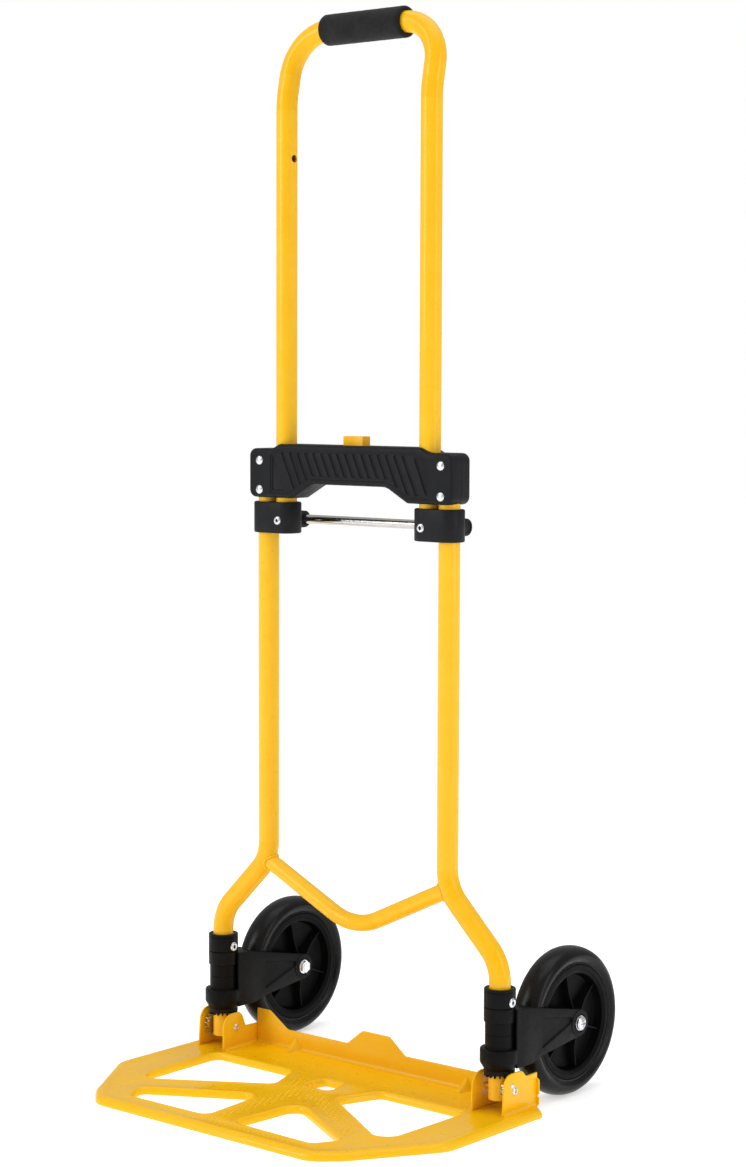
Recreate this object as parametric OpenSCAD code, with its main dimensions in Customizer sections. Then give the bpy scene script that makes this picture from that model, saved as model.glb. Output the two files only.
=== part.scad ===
// Foldable two-wheel hand truck: a bent tube frame with a telescoping handle, a toe plate that
// folds up against the legs, and two wheels that swing in between the legs as it folds.
// Millimetres. X runs across the truck, Y to the back and Z up. The floor is Z = 0.

/* [Tubes] */
// Outside diameter of the frame and handle tubes
tube_d = 22; // [21:0.5:23]
// Wall thickness of the frame and handle tubes
tube_wall = 1.5; // [1.2:0.1:2]
// Outside diameter of the cross brace
brace_d = 17.5; // [16:0.5:19]
// Bend radius of the leg bends
leg_bend_r = 45; // [40:1:50]

/* [Frame] */
// Distance of each leg from the middle, at the wheels
leg_x = 190; // [188:1:194]
// Distance of each upper frame tube from the middle
frame_x = 122.4; // [121:0.2:124]
// Height at which each leg starts to bend inward
bend_low = 136; // [134:1:140]
// Height of the open lower end of each leg
leg_end = 18.5; // [17:0.5:20]
// Rise of the cross brace for each millimetre across
brace_slope = 0.475; // [0.44:0.005:0.5]

/* [Handle] */
// Distance of each handle tube from the middle
handle_x = 97; // [96:0.2:98]
// Height of the middle of the hand grip bar
grip_z = 1092; // [1080:1:1110]
// Backward lean of the handle's top
grip_lean = 11.2; // [8:0.2:14]
// Outside diameter of the foam grip
foam_d = 32; // [28:1:34]
// Length of the foam grip
foam_l = 107; // [90:1:108]
// Travel of the telescoping handle
handle_travel = 325; // [300:1:326]

/* [Bridge] */
// Half length of the plastic bridge at the top of the frame
bridge_half = 137.5; // [136:0.5:140]
// Depth of the bridge, front to back
bridge_depth = 30; // [28:0.5:32]
// Underside of the bridge's ends
bridge_low = 609.5; // [608:0.5:611]
// Top of the bridge's middle
bridge_high = 666; // [664:0.5:668]
// Travel of the release button
button_travel = 6; // [5:0.5:6]

/* [Toe plate] */
// Half width of the toe plate
plate_half = 226; // [224:1:228]
// Reach of the toe plate in front of the legs
plate_front = 235; // [225:1:240]
// Height of the toe plate's top
plate_h = 7; // [6:0.5:7.5]
// Thickness of its sheet metal
sheet = 2.2; // [1.8:0.1:2.4]
// Height of the toe plate's hinge
hinge_z = 29; // [28.5:0.1:29.5]

/* [Wheels] */
// Outside radius of the tyre
tyre_r = 77; // [76:0.5:77.5]
// Half width of the tyre
tyre_half = 15.4; // [15:0.1:15.8]
// Distance of the axle behind the legs
axle_y = 109.5; // [109:0.1:110]
// Number of teeth on each bevel gear of the folding drive
gear_teeth = 18; // [16:2:20]

/* [Hidden] */
$fn = 64;

// Colours of the finishes
paint = [0.98, 0.74, 0.05];
black = [0.13, 0.13, 0.14];
foam_black = [0.08, 0.08, 0.08];
bright = [0.8, 0.8, 0.8];
rubber = [0.1, 0.1, 0.1];

// Clearances: tight for parts that stay together, sliding for telescoping tubes, running for pins
tight = 0.02;
sliding = 0.35;
running = 0.06;
// Overshoot of a cut past the face that it opens
over = 1;
// How far the end of a bend reaches into a straight stretch, and how much thinner it is
joint_reach = 0.3;
joint_step = 0.05;

tube_r = tube_d / 2;
bore_r = tube_r - tube_wall;
axle_z = tyre_r;
plate_rear = 37;
// The legs stand this far behind the middle of the whole truck's depth
leg_y = (plate_front - axle_y - tyre_r) / 2;

// Tubes
// The upper bend starts where the two 45 degree bends bring the leg in to the upper tube
bend_top = bend_low + leg_x - frame_x + 2 * leg_bend_r * (sin(45) + cos(45) - 1);
frame_top = 655;
grip_bend_r = 46;
lean_bend_r = 100;
lean_z = 1021.7;
brace_bend_r = 70;
brace_low = 162;
brace_wall = 1.2;

// Collars and swivel barrels around the legs
collar_r = 16;
collar_low = 112;
collar_high = 131;
collar_rivet_z = 117.7;
barrel_r = 14.7;
flange_r = 19.7;
barrel_low = 49;
arm_in = 16.6;
arm_out = 19.4;
boss_r = 14;
web_back = 40;

// Folding gears: the crown gear's teeth point down and mesh with the gear on the outer ear
crown_in = 11.8;
crown_out = 15.6;
crown_root = 44.8;
crown_tip = 42;
ear_gear_r = 14.2;
ear_gear_root = 11.2;
ear_gear_in = 12;
ear_gear_out = 15.4;

// Hinge ears
ear_in = 17.6;
wall_y = 33;
pin_r = 3;
gear_rivet_y = -4.7;
gear_rivet_z = 6.4;

// Bridge and lock
bridge_wall = 2.4;
lock_z = 637;
lock_hole_r = 4;
lock_pin_r = 3.6;
lock_seat_x = 60;
lock_rib_x = 30;
lock_rib_t = 2.5;
dowel_x = 18;
dowel_r = 1.5;
cavity_half = 80;
cavity_low = 627.4;
button_half = 13;
button_half_y = 6;
button_top = 675.5;
cheek_half = 27;
cheek_low = 634;
cheek_high = 662;
bridge_rivet_z = [617.7, 648.4];

// Sliders at the handle's lower ends
slider_low = 572;
slider_high = 605;
slider_r = 15;
slider_rivet_z = 585.7;
rod_r = 5;
rod_y = 37;
rod_z = 585;
rod_half = 112;
lug_r = 9;
lug_half = 6;

// Axle
bolt_r = 4;
sleeve_r = 6;
washer_t = 1;
nut_t = 3;
nut_af = 12;

// ---- Shared shapes ----

function unit(v) = v / norm(v);
function short_way(a) = a > 180 ? a - 360 : a < -180 ? a + 360 : a;

// The outline through corners [x, y, radius], each rounded to its radius
function rounded(corners, steps = 6) = [
  for (i = [0 : len(corners) - 1])
    let (
      count = len(corners),
      here = [corners[i][0], corners[i][1]],
      back = corners[(i + count - 1) % count],
      next = corners[(i + 1) % count],
      radius = corners[i][2],
      u = unit([back[0], back[1]] - here),
      v = unit([next[0], next[1]] - here),
      half = acos(u * v) / 2,
      centre = here + unit(u + v) * radius / sin(half),
      first = here + u * radius / tan(half) - centre,
      last = here + v * radius / tan(half) - centre,
      start = atan2(first[1], first[0]),
      turn = short_way(atan2(last[1], last[0]) - start)
    )
    each radius == 0
      ? [here]
      : [for (k = [0 : steps])
          centre + radius * [cos(start + turn * k / steps), sin(start + turn * k / steps)]]
];

// Puts a shape that is drawn about the legs' plane where the legs stand
module on_legs() translate([0, leg_y, 0]) children();

// Draws a right-hand shape on the right, or its mirror image on the left
module on_side(side) {
  if (side > 0) children();
  else mirror([1, 0, 0]) children();
}

module on_both_sides() {
  children();
  mirror([1, 0, 0]) children();
}

// A round bar between two points of the XZ plane
module bar_xz(from, to, r) {
  translate([from[0], 0, from[1]])
    rotate([0, atan2(to[0] - from[0], to[1] - from[1]), 0])
      cylinder(r = r, h = norm(to - from));
}

// A bend in the XY plane, from a start angle through a turn. It is a hair thinner than the
// straight stretches, and its ends reach a little way into them, so that they join soundly
module bend(bend_r, start, turn, r) {
  more = asin(joint_reach / bend_r);
  rotate([0, 0, start - more])
    rotate_extrude(angle = turn + 2 * more)
      translate([bend_r, 0])
        circle(r = r - joint_step);
}

// A bend in the XZ plane about a centre
module bend_xz(centre, bend_r, start, turn, r) {
  translate([centre[0], 0, centre[1]]) rotate([90, 0, 0]) bend(bend_r, start, turn, r);
}

// Cylinders along X and along Y, between two positions
module along_x(from, to, r) {
  translate([from, 0, 0]) rotate([0, 90, 0]) cylinder(r = r, h = to - from);
}

module along_y(from, to, r) {
  translate([0, to, 0]) rotate([90, 0, 0]) cylinder(r = r, h = to - from);
}

// An outline drawn as [x, z] and given a thickness along Y
module upright_xz(points, from, to) {
  translate([0, to, 0]) rotate([90, 0, 0]) linear_extrude(to - from) polygon(points);
}

// An outline drawn as [y, z] and given a thickness along X
module upright_yz(points, from, to) {
  translate([from, 0, 0]) rotate([90, 0, 90]) linear_extrude(to - from) polygon(points);
}

// A flat-headed rivet along Y with a head on each face
module rivet_y(half, shank_r, head_r, head_t) {
  along_y(-half, half, shank_r);
  along_y(-half - head_t, -half, head_r);
  along_y(half, half + head_t, head_r);
}

// ---- Frame ----

// The middle line of a leg, from its foot up through the S-bend to the bridge
module leg_path(r, extra) {
  shift = leg_bend_r * (1 - cos(45));
  drop = leg_bend_r * sin(45);
  bar_xz([leg_x, leg_end - extra], [leg_x, bend_low], r);
  bend_xz([leg_x - leg_bend_r, bend_low], leg_bend_r, 0, 45, r);
  bar_xz([leg_x - shift, bend_low + drop], [frame_x + shift, bend_top - drop], r);
  bend_xz([frame_x + leg_bend_r, bend_top], leg_bend_r, 180, 45, r);
  bar_xz([frame_x, bend_top], [frame_x, frame_top + extra], r);
}

module frame_tube() {
  difference() {
    leg_path(tube_r, 0);
    leg_path(bore_r, over);
    translate([leg_x, 0, hinge_z]) along_x(-tube_d, tube_d, pin_r + running);
    translate([leg_x, 0, collar_rivet_z]) along_x(-tube_d, tube_d, 2 + tight);
    for (z = bridge_rivet_z)
      translate([frame_x, 0, z]) along_y(-tube_d, tube_d, 2.5 + tight);
  }
}

module left_frame_tube() color(paint) on_legs() on_side(-1) frame_tube();
module right_frame_tube() color(paint) on_legs() on_side(1) frame_tube();

// A shallow V of tube between the legs, with a round point and coped ends
module brace_path(r) {
  tilt = atan(brace_slope);
  centre_z = brace_low + brace_bend_r / cos(tilt);
  start = [brace_bend_r * sin(tilt), centre_z - brace_bend_r * cos(tilt)];
  bend_xz([0, centre_z], brace_bend_r, -90 - tilt, 2 * tilt, r);
  on_both_sides() bar_xz(start, [frame_x + 4, brace_low + brace_slope * (frame_x + 4)], r);
}

module cross_brace() color(paint) on_legs() difference() {
  brace_path(brace_d / 2);
  brace_path(brace_d / 2 - brace_wall);
  on_both_sides() leg_path(tube_r + tight, 0);
}

// Fixed collar that holds the swivel barrel down on the leg
module collar() translate([leg_x, 0, 0]) difference() {
  translate([0, 0, collar_low]) cylinder(r = collar_r, h = collar_high - collar_low);
  translate([0, 0, collar_low - over])
    cylinder(r = tube_r + tight, h = collar_high - collar_low + 2 * over);
  translate([0, 0, collar_rivet_z]) {
    along_x(-collar_r - over, collar_r + over, 2 + tight);
    along_x(collar_r - 0.6, collar_r + over, 4.2);
    along_x(-collar_r - over, -collar_r + 0.6, 4.2);
  }
}

module left_collar() color(black) on_legs() on_side(-1) collar();
module right_collar() color(black) on_legs() on_side(1) collar();

module collar_rivets() color(bright) on_legs() on_both_sides()
  translate([leg_x, 0, collar_rivet_z]) difference() {
    union() {
      along_x(-collar_r + 0.6, collar_r - 0.6, 2);
      along_x(collar_r - 0.6, collar_r + 0.8, 4);
      along_x(-collar_r - 0.8, -collar_r + 0.6, 4);
    }
    along_x(collar_r - 4, collar_r + over, 1.3);
    along_x(-collar_r - over, -collar_r + 4, 1.3);
  }

// ---- Bridge and handle lock ----

// Front view of the bridge: raised middle and an arch below it
bridge_outline = rounded([
  [-bridge_half, bridge_low, 8], [-78, bridge_low, 4], [-50, 625, 22], [50, 625, 22],
  [78, bridge_low, 4], [bridge_half, bridge_low, 8], [bridge_half, 661, 8], [106, 661, 6],
  [96, bridge_high, 6], [-96, bridge_high, 6], [-106, 661, 6], [-bridge_half, 661, 8]
]);

module bridge_half_shell(from, to) {
  inner_from = max(from, -bridge_depth / 2 + bridge_wall);
  inner_to = min(to, bridge_depth / 2 - bridge_wall);
  difference() {
    upright_xz(bridge_outline, from, to);
    difference() {
      translate([-cavity_half, inner_from, cavity_low])
        cube([2 * cavity_half, inner_to - inner_from, bridge_high - bridge_wall - cavity_low]);
      for (x = [-lock_rib_x - lock_rib_t, lock_rib_x])
        translate([x, inner_from, cavity_low])
          cube([lock_rib_t, inner_to - inner_from, bridge_high - cavity_low]);
    }
    translate([0, 0, lock_z]) along_x(-handle_x, handle_x, lock_pin_r + running);
    translate([-button_half - 0.4, -button_half_y - 0.4, cheek_high])
      cube([2 * button_half + 0.8, 2 * button_half_y + 0.8, 20]);
    for (side = [-1, 1]) {
      translate([side * handle_x, 0, bridge_low - over])
        cylinder(r = tube_r + sliding, h = 80);
      translate([side * frame_x, 0, bridge_low - over])
        cylinder(r = tube_r + tight, h = frame_top - bridge_low + over);
      for (z = bridge_rivet_z)
        translate([side * frame_x, 0, z]) along_y(-20, 20, 2.5 + tight);
    }
  }
}

module bridge_front_shell() color(black) on_legs() bridge_half_shell(-bridge_depth / 2, 0);
module bridge_rear_shell() color(black) on_legs() bridge_half_shell(0, bridge_depth / 2);

module bridge_rivets() color(bright) on_legs() on_both_sides()
  for (z = bridge_rivet_z)
    translate([frame_x, 0, z]) difference() {
      rivet_y(bridge_depth / 2, 2.5, 4.5, 1.1);
      along_y(-20, -9, 1.6);
      along_y(9, 20, 1.6);
    }

// Push button with two cheeks, whose slanting slots draw the lock pins inward
module cam_slot() {
  far = dowel_x - button_travel;
  reach = button_travel * sqrt(2);
  translate([dowel_x, 0, lock_z]) rotate([0, -135, 0]) {
    along_y(-10, 10, dowel_r + 0.3);
    translate([0, -10, -dowel_r - 0.3]) cube([reach, 20, 2 * dowel_r + 0.6]);
  }
  translate([far, 0, lock_z + button_travel]) along_y(-10, 10, dowel_r + 0.3);
}

module release_button() color(paint) on_legs() difference() {
  union() {
    translate([-button_half, -button_half_y, cheek_high - 2])
      cube([2 * button_half, 2 * button_half_y, button_top - cheek_high + 2]);
    translate([-cheek_half, -button_half_y, cheek_low])
      cube([2 * cheek_half, 2 * button_half_y, cheek_high - cheek_low]);
  }
  translate([-cheek_half - over, -lock_pin_r - 0.4, cheek_low - over])
    cube([2 * cheek_half + 2 * over, 2 * lock_pin_r + 0.8, 656 - cheek_low]);
  on_both_sides() cam_slot();
}

module lock_pin() {
  translate([0, 0, lock_z]) {
    along_x(dowel_x - 4, handle_x - tube_r - 0.6, lock_pin_r);
    along_x(lock_seat_x, lock_seat_x + 2, 5.6);
    translate([dowel_x, 0, 0]) along_y(-button_half_y - 0.2, button_half_y + 0.2, dowel_r);
  }
}

module left_lock_pin() color(bright) on_legs() on_side(-1) lock_pin();
module right_lock_pin() color(bright) on_legs() on_side(1) lock_pin();

// Coil spring around a lock pin, swept along a helix with closed ends
spring_turns = 7;
spring_r = 4.7;
wire_r = 0.5;
spring_from = lock_rib_x + lock_rib_t + wire_r + 0.1;
spring_to = lock_seat_x - wire_r - 0.1;
ring_steps = 12 * spring_turns;
wire_sides = 6;
spring_points = [
  for (i = [0 : ring_steps], k = [0 : wire_sides - 1])
    let (
      turn = 360 * spring_turns * i / ring_steps,
      around = 360 * k / wire_sides,
      radius = spring_r + wire_r * cos(around)
    )
    [spring_from + (spring_to - spring_from) * i / ring_steps + wire_r * sin(around),
     radius * cos(turn), lock_z + radius * sin(turn)]
];
spring_faces = concat(
  [[for (k = [0 : wire_sides - 1]) k]],
  [for (i = [0 : ring_steps - 1], k = [0 : wire_sides - 1])
    let (a = i * wire_sides, b = a + wire_sides, m = (k + 1) % wire_sides)
    [a + k, b + k, b + m, a + m]],
  [[for (k = [wire_sides - 1 : -1 : 0]) ring_steps * wire_sides + k]]
);

module left_lock_spring() color(bright) on_legs() on_side(-1)
  polyhedron(spring_points, spring_faces);
module right_lock_spring() color(bright) on_legs() on_side(1)
  polyhedron(spring_points, spring_faces);

// ---- Handle ----

// The handle's middle line: up each tube, a slight lean back, then the bend into the grip bar
module handle_path(r, extra) {
  lead = lean_bend_r * tan(grip_lean / 2);
  height = (grip_z - lean_z) / cos(grip_lean);
  on_both_sides() {
    translate([handle_x, 0, slider_low + 2 - extra])
      cylinder(r = r, h = lean_z - lead - slider_low - 2 + extra);
    translate([handle_x, lean_bend_r, lean_z - lead])
      rotate([0, 90, 0]) bend(lean_bend_r, -90 - grip_lean, grip_lean, r);
  }
  translate([0, 0, lean_z]) rotate([-grip_lean, 0, 0]) {
    on_both_sides() {
      translate([handle_x, 0, lead]) cylinder(r = r, h = height - grip_bend_r - lead);
      bend_xz([handle_x - grip_bend_r, height - grip_bend_r], grip_bend_r, 0, 90, r);
    }
    translate([0, 0, height]) along_x(grip_bend_r - handle_x, handle_x - grip_bend_r, r);
  }
}

module handle_tube() color(paint) on_legs() difference() {
  handle_path(tube_r, 0);
  handle_path(bore_r, over);
  on_both_sides() {
    for (z = [lock_z, lock_z + handle_travel])
      translate([0, 0, z]) along_x(handle_x - tube_d, handle_x, lock_hole_r);
    translate([handle_x, 0, slider_rivet_z]) along_y(-20, 20, 2.5 + tight);
  }
}

// Foam sleeve on the middle of the handle's top
module foam_grip() color(foam_black) on_legs()
  translate([0, 0, lean_z]) rotate([-grip_lean, 0, 0])
    translate([0, 0, (grip_z - lean_z) / cos(grip_lean)]) difference() {
      along_x(-foam_l / 2, foam_l / 2, foam_d / 2);
      along_x(-foam_l / 2 - over, foam_l / 2 + over, tube_r + tight);
    }

// Clamp that is riveted to a handle tube and slides on the frame tube beside it. A lug behind
// it carries the cross rod
module slider() difference() {
  union() {
    translate([0, 0, slider_low]) {
      for (x = [handle_x, frame_x])
        translate([x, 0, 0]) cylinder(r = slider_r, h = slider_high - slider_low);
      translate([handle_x, -slider_r, 0])
        cube([frame_x - handle_x, 2 * slider_r, slider_high - slider_low]);
    }
    translate([(handle_x + frame_x) / 2, 0, rod_z]) {
      translate([0, rod_y, 0]) along_x(-lug_half, lug_half, lug_r);
      translate([-lug_half, slider_r - 1, 0.5 - lug_r])
        cube([2 * lug_half, rod_y - slider_r + 1, 2 * lug_r - 1]);
    }
  }
  translate([handle_x, 0, slider_low + 2]) cylinder(r = tube_r + tight, h = 60);
  translate([frame_x, 0, slider_low - over]) cylinder(r = tube_r + sliding, h = 60);
  translate([0, rod_y, rod_z]) along_x(0, rod_half + 0.1, rod_r + tight);
  translate([handle_x, 0, slider_rivet_z]) along_y(-20, 20, 2.5 + tight);
}

module left_slider() color(black) on_legs() on_side(-1) slider();
module right_slider() color(black) on_legs() on_side(1) slider();

module cross_rod() color(bright) on_legs()
  translate([0, rod_y, rod_z]) along_x(-rod_half, rod_half, rod_r);

module slider_rivets() color(bright) on_legs() on_both_sides()
  translate([handle_x, 0, slider_rivet_z]) difference() {
    rivet_y(slider_r, 2.5, 4.5, 1.1);
    along_y(-20, -9, 1.6);
    along_y(9, 20, 1.6);
  }

// ---- Swivelling wheel forks ----

// Side view of a fork arm, as [y, z], with room for the axle boss
arm_outline = rounded([
  [4, 51, 0], [30, 51, 4], [46, 55.5, 10], [axle_y, axle_z - boss_r, 0],
  [axle_y + 0.2 * boss_r, axle_z + 0.98 * boss_r, 0], [24, 109, 6], [4, 111, 0]
]);

module wheel_fork() translate([leg_x, 0, 0]) difference() {
  union() {
    rotate_extrude() polygon([
      [0, barrel_low], [15.6, barrel_low], [flange_r, 56.5], [flange_r, 69.5],
      [flange_r - 1, 70.5], [barrel_r, 70.5], [barrel_r, 97], [collar_r, 97.6],
      [collar_r, collar_low - 0.4], [0, collar_low - 0.4]
    ]);
    for (side = [-1, 1]) {
      upright_yz(arm_outline, side > 0 ? arm_in : -arm_out, side > 0 ? arm_out : -arm_in);
      translate([0, axle_y, axle_z])
        along_x(side > 0 ? arm_in : -arm_out, side > 0 ? arm_out : -arm_in, boss_r);
    }
    translate([-arm_in, 8, 53]) cube([2 * arm_in, web_back - 8, 54]);
  }
  translate([0, 0, barrel_low - over])
    cylinder(r = tube_r + sliding, h = collar_high - barrel_low);
  translate([0, axle_y, axle_z]) {
    along_x(-arm_in, arm_in, tyre_r + 4);
    along_x(-30, 30, bolt_r + tight);
  }
}

module left_wheel_fork() color(black) on_legs() on_side(-1) wheel_fork();
module right_wheel_fork() color(black) on_legs() on_side(1) wheel_fork();

// Gear ring under the barrel, with teeth that point down
module crown_gear() translate([leg_x, 0, 0]) {
  difference() {
    translate([0, 0, crown_root]) cylinder(r = crown_out, h = barrel_low - crown_root);
    translate([0, 0, crown_root - over]) cylinder(r = crown_in, h = 10);
  }
  for (k = [0 : gear_teeth - 1])
    rotate([0, 0, (k + 0.5) * 360 / gear_teeth])
      upright_yz([[-1.2, crown_root], [-0.55, crown_tip], [0.55, crown_tip], [1.2, crown_root]],
                 crown_in + 0.3, crown_out - 0.3);
}

module left_crown_gear() color(black) on_legs() on_side(-1) crown_gear();
module right_crown_gear() color(black) on_legs() on_side(1) crown_gear();

// Gear on the inner face of the outer ear, whose top tooth stands in a gap of the crown
function gear_points(count, root, tip) = [
  for (k = [0 : count - 1])
    let (pitch = 360 / count)
    each [for (edge = [[-0.29, root], [-0.11, tip], [0.11, tip], [0.29, root]])
      edge[1] * [sin((k + edge[0]) * pitch), cos((k + edge[0]) * pitch)]]
];

module ear_gear() translate([leg_x, 0, hinge_z]) difference() {
  union() {
    upright_yz(gear_points(gear_teeth, ear_gear_root, ear_gear_r), ear_gear_in, ear_gear_out);
    along_x(ear_gear_out, ear_in, 10);
  }
  along_x(0, 30, pin_r + tight);
  translate([0, gear_rivet_y, gear_rivet_z]) along_x(0, 30, 1.8 + tight);
}

module left_ear_gear() color(bright) on_legs() on_side(-1) ear_gear();
module right_ear_gear() color(bright) on_legs() on_side(1) ear_gear();

// Axle bolt with a domed head on the outer side of the wheel
module axle_bolt() translate([leg_x, axle_y, axle_z]) {
  along_x(-arm_out - washer_t - nut_t - 0.5, arm_out + washer_t, bolt_r);
  translate([arm_out + washer_t, 0, 0]) rotate([0, 90, 0]) difference() {
    union() {
      cylinder(r = 7, h = 2);
      translate([0, 0, 2]) intersection() {
        translate([0, 0, -8]) sphere(r = 10.6);
        cylinder(r = 7, h = 10);
      }
    }
    for (angle = [0, 90])
      rotate([0, 0, angle]) translate([-4, -0.8, 2.4]) cube([8, 1.6, 10]);
  }
}

module left_axle_bolt() color(bright) on_legs() on_side(-1) axle_bolt();
module right_axle_bolt() color(bright) on_legs() on_side(1) axle_bolt();

module axle_nut() translate([leg_x - arm_out - washer_t - nut_t, axle_y, axle_z])
  rotate([0, 90, 0]) difference() {
    cylinder(d = nut_af / cos(30), h = nut_t, $fn = 6);
    translate([0, 0, -over]) cylinder(r = bolt_r + tight, h = nut_t + 2 * over);
  }

module left_axle_nut() color(bright) on_legs() on_side(-1) axle_nut();
module right_axle_nut() color(bright) on_legs() on_side(1) axle_nut();

module axle_washers() translate([leg_x, axle_y, axle_z])
  for (x = [-arm_out - washer_t, arm_out])
    difference() {
      along_x(x, x + washer_t, 7.6);
      along_x(x - over, x + washer_t + over, bolt_r + tight);
    }

module left_axle_washers() color(bright) on_legs() on_side(-1) axle_washers();
module right_axle_washers() color(bright) on_legs() on_side(1) axle_washers();

// Steel tube on the bolt between the fork arms, on which the wheel turns
module axle_sleeve() translate([leg_x, axle_y, axle_z]) difference() {
  along_x(-arm_in, arm_in, sleeve_r);
  along_x(-arm_in - over, arm_in + over, bolt_r + tight);
}

module left_axle_sleeve() color(bright) on_legs() on_side(-1) axle_sleeve();
module right_axle_sleeve() color(bright) on_legs() on_side(1) axle_sleeve();

// ---- Wheels ----

rim_r = 59;
rim_inner = 50;
rim_half = 13.4;
hub_r = 14;
hub_half = 16.2;
rib_count = 6;
rib_first = 40;

// Half of the tyre's section, as [radius, across]
tyre_section = [
  [rim_r, 0], [rim_r, tyre_half - 1.6], [rim_r + 1.6, tyre_half], [tyre_r - 9, tyre_half],
  [tyre_r - 4.2, tyre_half - 2.4], [tyre_r - 1.3, tyre_half - 6.6], [tyre_r, tyre_half - 11],
  [tyre_r, 0]
];

module tyre() translate([leg_x, axle_y, axle_z]) rotate([0, 90, 0]) {
  rotate_extrude($fn = 96) polygon(tyre_section);
  mirror([0, 0, 1]) rotate_extrude($fn = 96) polygon(tyre_section);
}

module left_tyre() color(rubber) on_legs() on_side(-1) tyre();
module right_tyre() color(rubber) on_legs() on_side(1) tyre();

// Spoked plastic rim: a ring, a hub, a thin web between them and ribs on both of its faces
module rim() translate([leg_x, axle_y, axle_z]) difference() {
  union() {
    rotate([0, 90, 0]) {
      difference() {
        translate([0, 0, -rim_half]) cylinder(r = rim_r - tight, h = 2 * rim_half);
        translate([0, 0, -20]) cylinder(r = rim_inner, h = 40);
      }
      translate([0, 0, -2]) cylinder(r = rim_inner + 1, h = 4);
      translate([0, 0, -hub_half]) cylinder(r = hub_r, h = 2 * hub_half);
    }
    for (k = [0 : rib_count - 1])
      rotate([rib_first + k * 360 / rib_count, 0, 0])
        upright_yz([[hub_r - 2, -1.25], [rim_inner + 1, -1.25], [rim_inner + 1, 1.25],
                    [hub_r - 2, 1.25]], -9, 9);
  }
  along_x(-30, 30, sleeve_r + running);
}

module left_rim() color(black) on_legs() on_side(-1) rim();
module right_rim() color(black) on_legs() on_side(1) rim();

// ---- Toe plate ----

// Right half of the plate's outline, from the middle of the front edge round to the rear
plate_side = [
  [145, -plate_front, 30], [170, -212, 60], [plate_half, -125, 30], [plate_half, 25, 6],
  [212, plate_rear, 4]
];
function mirrored(points) = [
  for (i = [len(points) - 1 : -1 : 0]) [-points[i][0], points[i][1], points[i][2]]
];
plate_outline = rounded(concat(plate_side, mirrored(plate_side)));

// Openings of the right half, and the small one in the middle of the rear
side_opening = [[62, -31, 8], [170, -31, 10], [168, -141, 14], [152, -146, 10], [44, -78, 8]];
front_opening = [[27, -117, 12], [137, -180, 8], [122, -205, 8], [20, -203, 8]];
middle_opening = [[-12, -33, 4], [12, -33, 4], [17, -61, 5], [-17, -61, 5]];
openings = [
  side_opening, mirrored(side_opening), front_opening, mirrored(front_opening), middle_opening
];

// A corner list grown outward by a constant amount keeps its roundness: each side moves out
function grown(corners, by) = [
  for (i = [0 : len(corners) - 1])
    let (
      count = len(corners),
      here = [corners[i][0], corners[i][1]],
      back = corners[(i + count - 1) % count],
      next = corners[(i + 1) % count],
      u = unit([back[0], back[1]] - here),
      v = unit([next[0], next[1]] - here),
      half = acos(u * v) / 2,
      moved = here - unit(u + v) * by / sin(half)
    )
    [moved[0], moved[1], max(corners[i][2] + by, 1)]
];

// Pressed sheet: a flat top with its outer edge and the edges of its openings turned down
module toe_plate() color(paint) on_legs() difference() {
  linear_extrude(plate_h) polygon(plate_outline);
  difference() {
    translate([0, 0, -over]) linear_extrude(plate_h - sheet + over)
      polygon(rounded(grown(concat(plate_side, mirrored(plate_side)), -sheet)));
    for (corners = openings)
      linear_extrude(plate_h) polygon(rounded(grown(corners, sheet)));
  }
  for (corners = openings)
    translate([0, 0, -over]) linear_extrude(plate_h + 2 * over) polygon(rounded(corners));
}

// Upright wall behind the load with a tab in its middle, and the two inner hinge ears
wall_end = leg_x - ear_in - sheet;
wall_outline = rounded([
  [-wall_end, plate_h, 0], [wall_end, plate_h, 0], [wall_end, 31, 0], [148, 31, 4],
  [138, 28, 4], [40, 27.5, 6], [18.5, 44.5, 4], [-18.5, 44.5, 4], [-40, 27.5, 6],
  [-126, 27.5, 8], [-152, 44.5, 5], [-wall_end, 44.5, 0]
]);
inner_ear_outline = rounded([
  [-20.5, plate_h, 0], [wall_y + sheet, plate_h, 0], [wall_y + sheet, 28, 0], [14.5, 28.5, 4],
  [8, 45.5, 9], [-20.5, 45.5, 15]
]);
outer_ear_outline = rounded([
  [-19.5, plate_h, 0], [plate_rear, plate_h, 0], [plate_rear, 41, 1], [19, 40.5, 5],
  [12, 47.8, 9], [-16.5, 47.8, 13]
]);

module back_flange() color(paint) on_legs() difference() {
  union() {
    upright_xz(wall_outline, wall_y, wall_y + sheet);
    on_both_sides()
      upright_yz(inner_ear_outline, wall_end, wall_end + sheet);
  }
  translate([0, 0, hinge_z]) along_x(-leg_x, leg_x, pin_r + tight);
}

module outer_ear() difference() {
  upright_yz(outer_ear_outline, leg_x + ear_in, leg_x + ear_in + sheet);
  translate([leg_x, 0, hinge_z]) {
    along_x(0, 30, pin_r + tight);
    translate([0, gear_rivet_y, gear_rivet_z]) along_x(0, 30, 1.8 + tight);
  }
}

module left_outer_ear() color(paint) on_legs() on_side(-1) outer_ear();
module right_outer_ear() color(paint) on_legs() on_side(1) outer_ear();

// Hinge pins through both ears, the leg and the ear gear
module toe_hinge_pins() color(bright) on_legs() on_both_sides()
  translate([leg_x, 0, hinge_z]) {
    along_x(-ear_in - sheet, ear_in + sheet, pin_r);
    along_x(ear_in + sheet, ear_in + sheet + 1.4, 4.2);
    along_x(-ear_in - sheet - 1.4, -ear_in - sheet, 4.2);
  }

module gear_rivets() color(bright) on_legs() on_both_sides()
  translate([leg_x, gear_rivet_y, hinge_z + gear_rivet_z]) {
    along_x(ear_gear_in, ear_in + sheet, 1.8);
    along_x(ear_in + sheet, ear_in + sheet + 1.2, 3);
  }

// ---- Drawing ----

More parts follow.
